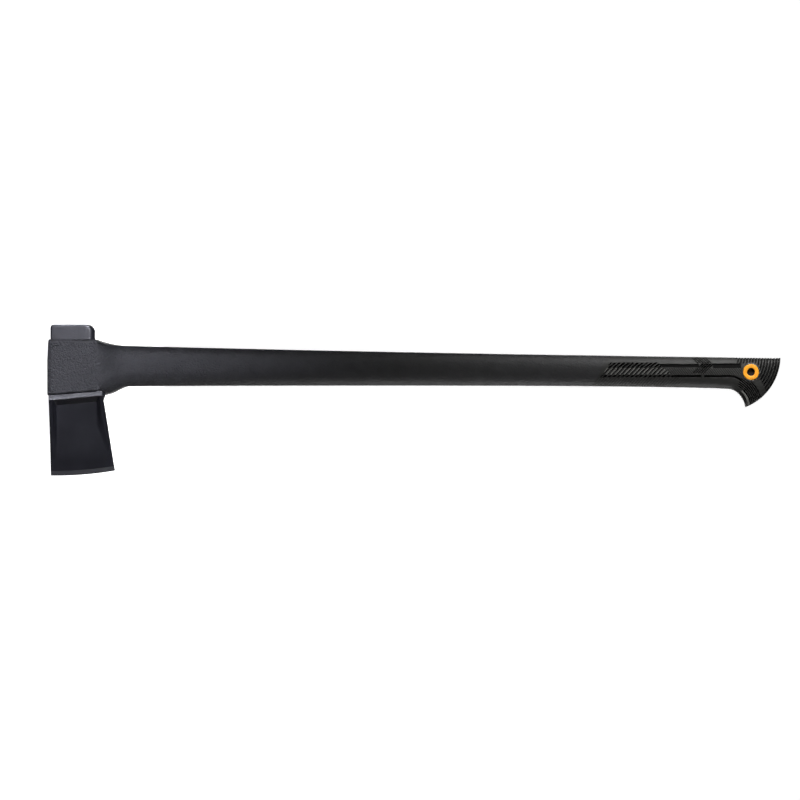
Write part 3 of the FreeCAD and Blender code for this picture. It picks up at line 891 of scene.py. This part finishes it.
def make_head(coated, ground):
    """Wedge, poll and web, joined into the one forging."""
    head = make_wedge([coated, ground])
    boolean(head, tube_object("poll", poll_loops(), [coated]), "UNION")
    boolean(head, make_web(), "UNION")
    shade(head, 25)
    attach(head, "root")
    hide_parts("maul_head")


# ---------------------------------------------------------------- grip
# The relief is drawn over the side of the grip, in x and in z.  Lengths up the grip are measured
# back from the butt, and every depth is below the smooth surface.
GRIP_ROWS = 452
GRIP_COLUMNS = 200

RIB_PITCH = 5.63
RIB_SLANT = 1.0
SLOT_SLANT = 1.28
TOP_SLOTS = (-3.75, 2.1)
RIBS = (2.5, 10.7)
DASHES = (11.7, 14.4)
SLOT_DEPTH = 2.5
RIB_DEPTH = 0.9
RIB_SWING = 1.9
RIB_RISE_SHARE = 0.8
DASH_DEPTH = 2.2
STEP_DEPTH = 0.25
BLOCK_START = LENGTH - 212.6
BLOCK_START_X = -3.8
BLOCK_START_SLANT = 0.70
BLOCK_END = LENGTH - 154.3
BLOCK_END_SLANT = 1.14
BLOCK_GAP = 0.8

UPPER_HALF = 1.9
WIDE_HALF = 2.7
UPPER_STOP = LENGTH - 101.0
WIDE_START = LENGTH - 86.0
WIDE_STOP = LENGTH - 49.0
LOWER_HALF = 1.25
LOWER_X = 13.1
LOWER_TURN_Z = LENGTH - 63.0
LOWER_TURN = 0.028
LOWER_BREAK = (LENGTH - 99.5, LENGTH - 95.5)
GROOVE_STOP = LENGTH - 47.0
UPPER_DEPTH = 1.5
LOWER_DEPTH = 1.6

SMALL_PITCH = 3.3
SMALL_SLOTS = (-2.5, 2.5)
SMALL_UPPER = (-10.5, -2.8)
SMALL_LOWER = (3.4, 9.5)
SMALL_START = LENGTH - 102.0
SMALL_STOPS = (LENGTH - 84.5, LENGTH - 83.0, LENGTH - 84.0)
SMALL_SLOT_DEPTH = 2.2
SMALL_RIB_DEPTH = 0.8

HATCH_PITCH = 2.3
WEAVE_PITCH = 1.25 * HATCH_PITCH
WEAVE_SLANT = 0.8
WEAVE_X = (2.7, 11.4)
WEAVE_START = LENGTH - 149.0
WEAVE_START_SLANT = 1.1
WEAVE_DEPTH = 0.6
LINES_PITCH = 1.6 * HATCH_PITCH
LINES_X = (15.0, 24.0)
LINES_START = LENGTH - 220.0
LINES_START_SLANT = 0.7
LINES_STOP = LENGTH - 122.5
LINES_DEPTH = 0.5
HATCH_LIFT = 0.45  # the share that stands above the surface

BUTT_PITCH = 3.6
BUTT_RIM = 2.0
BUTT_DEPTHS = (0.8, 1.9)
BUTT_START = LENGTH - 30.0
BACK_START = LENGTH - 55.0
BACK_X = -3.0
HOOK_PITCH = 2.35
HOOK_FIRST = 36.3
HOOK_BAND = (35.4, 52.0)
HOOK_X = 16.25
HOOK_DEPTH = 1.3
HOOK_TURN = 1.73
DIVIDE = (LENGTH - 26.0, 16.0)
DIVIDE_SLANT = 0.55
BEAD_BAND = (33.0, 35.2)
BEAD_HEIGHT = 0.9
BEAD_X = 31.5
RING_CLEAR = (11.0, 13.0)
SERRATION = (LENGTH - 60.0, LENGTH - 52.0)
SIDE_FROM = (0.1, 0.35)
END_CLEAR = (0.5, 3.0)
TIP_MIN_DEPTH = 0.4
TIP_MIN_HALF = 0.6


def block_end(x):
    """z of the slanted end of the block of ribs."""
    return BLOCK_END + BLOCK_END_SLANT * (x - TOP_SLOTS[0])


def rib_block(z, x):
    """Slots, raised ribs and dashes of the front half of the grip."""
    start = BLOCK_START - BLOCK_START_SLANT * (x - BLOCK_START_X)
    inside = smooth(-0.6, 0.6, z - start) * smooth(-0.6, 0.6, block_end(x) - z)
    slots = stripes((z + SLOT_SLANT * x) / RIB_PITCH, 0.46, 0.16) * band(*TOP_SLOTS, x, 0.8)
    rising = (z + RIB_SLANT * x) / RIB_PITCH % 1.0
    saw = np.where(rising < RIB_RISE_SHARE, rising / RIB_RISE_SHARE, (1 - rising) / (1 - RIB_RISE_SHARE))
    ribs = (RIB_DEPTH - RIB_SWING * saw) * band(*RIBS, x, 0.8)
    dashes = stripes((z + RIB_SLANT * x) / RIB_PITCH + 0.1, 0.56, 0.18) * band(*DASHES, x, 0.8)
    step = band(RIBS[0] - 0.3, RIBS[0] + 0.3, x, 0.5)
    return inside * (SLOT_DEPTH * slots + ribs + DASH_DEPTH * dashes + STEP_DEPTH * step)


def long_grooves(z, x):
    """The two long grooves behind the ribs; the lower one turns down into the hook."""
    after = smooth(-0.6, 0.6, z - block_end(x) - BLOCK_GAP)
    wide = z > WIDE_START + 2
    half_height = np.where(wide, WIDE_HALF, UPPER_HALF)
    first = smooth(-UPPER_STOP, 3 - UPPER_STOP, -z)
    second = smooth(WIDE_START, WIDE_START + 3, z) * smooth(-WIDE_STOP, 2 - WIDE_STOP, -z)
    upper = band(-half_height, half_height, x, 0.9) * (first + second)
    centre = LOWER_X + LOWER_TURN * np.clip(z - LOWER_TURN_Z, 0, None) ** 2
    unbroken = (1 - band(*LOWER_BREAK, z, 1.2)) * smooth(-GROOVE_STOP, 6 - GROOVE_STOP, -z)
    lower = band(centre - LOWER_HALF, centre + LOWER_HALF, x, 0.8) * unbroken
    cross = stripes((z + x) / HATCH_PITCH, 0.5, 0.5) * stripes((z - x) / HATCH_PITCH, 0.5, 0.5)
    upper = upper * np.where(wide, 0.8 + 0.5 * cross, 1.0)
    return after * (UPPER_DEPTH * upper + LOWER_DEPTH * lower)


def small_ribs(z, x):
    """The short group of slots and chevrons in the middle of the grip."""
    slots_stop, upper_stop, lower_stop = SMALL_STOPS
    up, down = z + x, z - x
    slots = stripes(up / SMALL_PITCH, 0.5, 0.22) * band(SMALL_START, slots_stop, up, 0.8)
    upper = stripes(down / SMALL_PITCH, 0.45, 0.25) * band(SMALL_START, upper_stop, down, 1.0)
    lower = stripes(up / SMALL_PITCH, 0.45, 0.25) * band(SMALL_START, lower_stop, up, 1.0)
    ribs = upper * band(*SMALL_UPPER, x, 1.0) + lower * band(*SMALL_LOWER, x, 1.0)
    return SMALL_SLOT_DEPTH * slots * band(*SMALL_SLOTS, x, 0.8) + SMALL_RIB_DEPTH * ribs


def fine_hatch(z, x):
    """Fine diagonal texture of the central band and below the ribs."""
    from_block = z - WEAVE_START_SLANT * x
    central = band(*WEAVE_X, x, 0.6) * smooth(WEAVE_START - 2, WEAVE_START + 2, from_block)
    central = central * smooth(-GROOVE_STOP, 4 - GROOVE_STOP, -z)
    below = band(*LINES_X, x, 1.5) * smooth(LINES_START - 5, LINES_START + 5, z + LINES_START_SLANT * x)
    below = below * smooth(-LINES_STOP - 2.5, 2.5 - LINES_STOP, -z)
    weave = stripes((z - WEAVE_SLANT * x) / WEAVE_PITCH, 0.5, 0.6) - HATCH_LIFT
    lines = stripes((z + x) / LINES_PITCH, 0.5, 0.6) - HATCH_LIFT
    return WEAVE_DEPTH * weave * central + LINES_DEPTH * lines * below


def hook_grooves(z, x):
    """Grooves that follow the round of the butt, and those that follow the hollow of the hook."""
    from_butt = np.hypot(z - BUTT_Z, x - BUTT_X)
    from_finger = np.hypot(z - FINGER_Z, x - FINGER_X)
    from_eyelet = np.hypot(z - EYELET[1], x - EYELET[0])
    divide = (z - DIVIDE[0]) - DIVIDE_SLANT * (x - DIVIDE[1])
    rim = smooth(BUTT_RIM - BUTT_RADIUS - 0.4, BUTT_RIM - BUTT_RADIUS + 0.4, -from_butt)
    butt_side = smooth(-0.7, 0.7, divide) * smooth(BUTT_START - 1, BUTT_START + 1, z)
    back_side = smooth(-0.8, 0.8, BACK_X - x) * smooth(BACK_START - 4, BACK_START + 4, z)
    butt = mix(*BUTT_DEPTHS, smooth(0.6, 2.2, x)) * np.maximum(butt_side, back_side)
    butt = butt * stripes((BUTT_RADIUS - from_butt) / BUTT_PITCH + 0.5, 0.48, 0.20)
    turned_in = smooth(-1.0, 1.0, HOOK_TURN * (z - FINGER_Z) - (FINGER_X - x))
    hook_side = smooth(-0.7, 0.7, -divide) * smooth(HOOK_X - 0.75, HOOK_X + 0.75, x) * turned_in
    hook = HOOK_DEPTH * stripes((from_finger - HOOK_FIRST) / HOOK_PITCH, 0.5, 0.28) * hook_side
    hook = hook * band(*HOOK_BAND, from_finger, 0.6)
    bead = BEAD_HEIGHT * band(*BEAD_BAND, from_finger, 1.0) * smooth(BEAD_X - 1.5, BEAD_X + 1.5, x)
    return smooth(*RING_CLEAR, from_eyelet) * rim * (butt + hook - bead)


def grip_relief(z, x):
    """Depth of the grip's texture below its smooth surface."""
    parts = (rib_block, long_grooves, small_ribs, fine_hatch, hook_grooves)
    return sum(part(z, x) for part in parts)


FINE_TURNS = 1441
FINE_HEIGHTS = 8000
HOOK_WEIGHT = 0.8


def even_loop(z, back, front, half, power, count):
    """Superellipse whose points are evenly spaced, starting at its front."""
    fine = loop(z, back, front, half, power, np.linspace(0, 2 * math.pi, FINE_TURNS))
    steps = np.hypot(np.diff(fine[:, 0]), np.diff(fine[:, 1]))
    along = np.concatenate([[0], np.cumsum(steps)])
    wanted = np.arange(count) / count * along[-1]
    return np.stack([np.interp(wanted, along, fine[:, 0]), np.interp(wanted, along, fine[:, 1]),
                     np.full(count, z)], axis=1)


def grip_heights(count):
    """Heights of the grip's sections, evenly spaced along its front outline."""
    fine = np.linspace(SLEEVE_START, LENGTH - 0.02, FINE_HEIGHTS)
    front = np.array([front_edge(z) for z in fine])
    along = np.concatenate([[0], np.cumsum(np.hypot(np.diff(fine), HOOK_WEIGHT * np.diff(front)))])
    return np.interp(np.linspace(0, along[-1], count), along, fine)


def loop_normals(points):
    """Outward direction in the plane of each section."""
    ahead = np.roll(points, -1, axis=0) - np.roll(points, 1, axis=0)
    normal = np.stack([ahead[:, 1], -ahead[:, 0]], axis=1)
    return normal / np.linalg.norm(normal, axis=1, keepdims=True)


def grip_loops():
    """Sections of the grip with its relief pressed in, and the depth at each point."""
    loops, depths = [], []
    for z in grip_heights(GRIP_ROWS):
        power = mix(SHAFT_POWER, HOOK_POWER, smooth(TIP_Z - HOOK_POWER_RUN, TIP_Z, z))
        front = max(front_edge(z), back_edge(z) + TIP_MIN_DEPTH)
        half = max(half_thickness(z), TIP_MIN_HALF)
        points = even_loop(z, back_edge(z), front, half, power, GRIP_COLUMNS)
        lean = SLEEVE_LEAN * smooth(-(SLEEVE_START + SLEEVE_LEAN_RUN), -SLEEVE_START, -z)
        points[:, 2] -= lean * points[:, 0]
        side = smooth(*SIDE_FROM, np.abs(points[:, 1]) / half)
        back_serration = smooth(*SERRATION, points[:, 2]) * (points[:, 0] < 0)
        reach = np.maximum(side, back_serration) * smooth(*END_CLEAR, LENGTH - z)
        depth = grip_relief(points[:, 2], points[:, 0]) * reach
        points[:, :2] -= loop_normals(points) * depth[:, None]
        loops.append(points)
        depths.append(depth)
    return np.array(loops), np.array(depths)


SEAT_CLEARANCE = 0.55
SEAT_FLOOR = 9.0
SEAT_TOP = 30.0
CAP_RINGS = 6


def make_grip(material):
    """The grip with its relief, also kept on the mesh as an attribute, and a seat for each ring."""
    loops, depths = grip_loops()
    grip = tube_object("grip_elastomer", loops, [material], CAP_RINGS)
    relief = grip.data.attributes.new(RELIEF, "FLOAT", "POINT")
    ends = np.zeros(CAP_RINGS * GRIP_COLUMNS)
    shares = RELIEF_ZERO + RELIEF_SPAN * np.concatenate([ends, depths.reshape(-1), ends])
    relief.data.foreach_set("value", shares.astype(np.float32))
    for low, high in ((SEAT_FLOOR, SEAT_TOP), (-SEAT_TOP, -SEAT_FLOOR)):
        seat = prism_object("seat", circle_outline(*EYELET, RING_RADIUS + SEAT_CLEARANCE, 128), low, high)
        boolean(grip, seat, "DIFFERENCE")
    shade(grip, 35)
    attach(grip, "root")
    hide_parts("grip_sleeve")


# ---------------------------------------------------------------- eyelet
def turned(name, profile, material, count=128):
    """Solid of revolution about the eyelet's axis, from a closed profile of (radius, y) points."""
    turns = np.linspace(0, 2 * math.pi, count, endpoint=False)
    radius, y = np.array(profile).T
    points = np.stack([EYELET[0] + np.outer(np.cos(turns), radius), np.tile(y, (count, 1)),
                       EYELET[1] + np.outer(np.sin(turns), radius)], axis=-1)
    index = np.arange(count * len(profile)).reshape(count, len(profile))
    across = np.roll(index, -1, axis=1)
    quads = np.stack([index, across, np.roll(across, -1, axis=0), np.roll(index, -1, axis=0)], axis=-1)
    return make_object(name, points.reshape(-1, 3), [tuple(q) for q in quads.reshape(-1, 4).tolist()],
                       [material])


RING_SLACK = 0.1
RING_BORE = 4.85
RING_BASE = 9.7
PLUG_RADIUS = 4.8
PLUG_DISH = 2.6
PLUG_EDGE = 0.1
PLUG_COLUMNS = 96


def arc_points(centre_r, centre_y, radius, start, end, count):
    """Points round an arc in (radius, y), between two angles in degrees."""
    turns = np.radians(np.linspace(start, end, count))
    return [(centre_r + radius * math.cos(t), centre_y + radius * math.sin(t)) for t in turns]


def make_ring(side, node, material):
    """Ring with rounded edges and a shallow groove round its face; side is the sign of y."""
    outer, inner = RING_RADIUS - RING_SLACK, RING_BORE
    base, face = RING_BASE, RING_HIGH[1]
    outside = arc_points(outer - 0.8, face - 0.8, 0.8, 0, 90, 8)
    groove = [(outer - 1.6, face), (outer - 1.8, face - 0.16), (outer - 2.1, face - 0.16),
              (outer - 2.3, face + 0.05), (outer - 3.2, face + 0.10), (inner + 1.3, face - 0.05)]
    inside = arc_points(inner + 0.7, face - 0.8, 0.7, 90, 180, 8)
    profile = [(outer, base)] + outside + groove + inside + [(inner, base)]
    ring = turned(node + "_ring", [(r, side * y) for r, y in profile], material)
    shade(ring, 30)
    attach(ring, "root")
    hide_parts(node)


def plug_loops():
    """Dished plug: shrinking circles down one dish, across, and up the other."""
    half = PLUG_HIGH[1]
    profile = [(PLUG_RADIUS * math.sin(t), half - PLUG_DISH + PLUG_DISH * (1 - math.cos(t)))
               for t in np.radians(np.linspace(4, 84, 18))]
    profile += arc_points(PLUG_RADIUS - PLUG_EDGE / 2, half - PLUG_EDGE, PLUG_EDGE, 90, 0, 4)
    both = profile + [(r, -y) for r, y in profile[::-1]]
    turns = np.linspace(0, 2 * math.pi, PLUG_COLUMNS, endpoint=False)
    return np.array([np.stack([EYELET[0] + r * np.cos(turns), np.full(PLUG_COLUMNS, y),
                               EYELET[1] + r * np.sin(turns)], axis=1) for r, y in both])


def make_plug(material):
    plug = tube_object("eyelet_plug_dished", plug_loops(), [material], 2)
    shade(plug, 35)
    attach(plug, "root")
    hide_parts("eyelet_plug")


# ---------------------------------------------------------------- main
def main():
    """Camera, stage and lights, then the six pieces."""
    bpy.context.scene.view_settings.view_transform = "Standard"
    make_camera()
    make_stage()
    make_lights()
    make_handle(moulded_nylon())
    make_head(coated_steel(), ground_steel())
    make_grip(grip_rubber())
    orange = orange_plastic()
    make_ring(1, "eyelet_ring_left", orange)
    make_ring(-1, "eyelet_ring_right", orange)
    make_plug(black_plastic_painted_shade())


main()
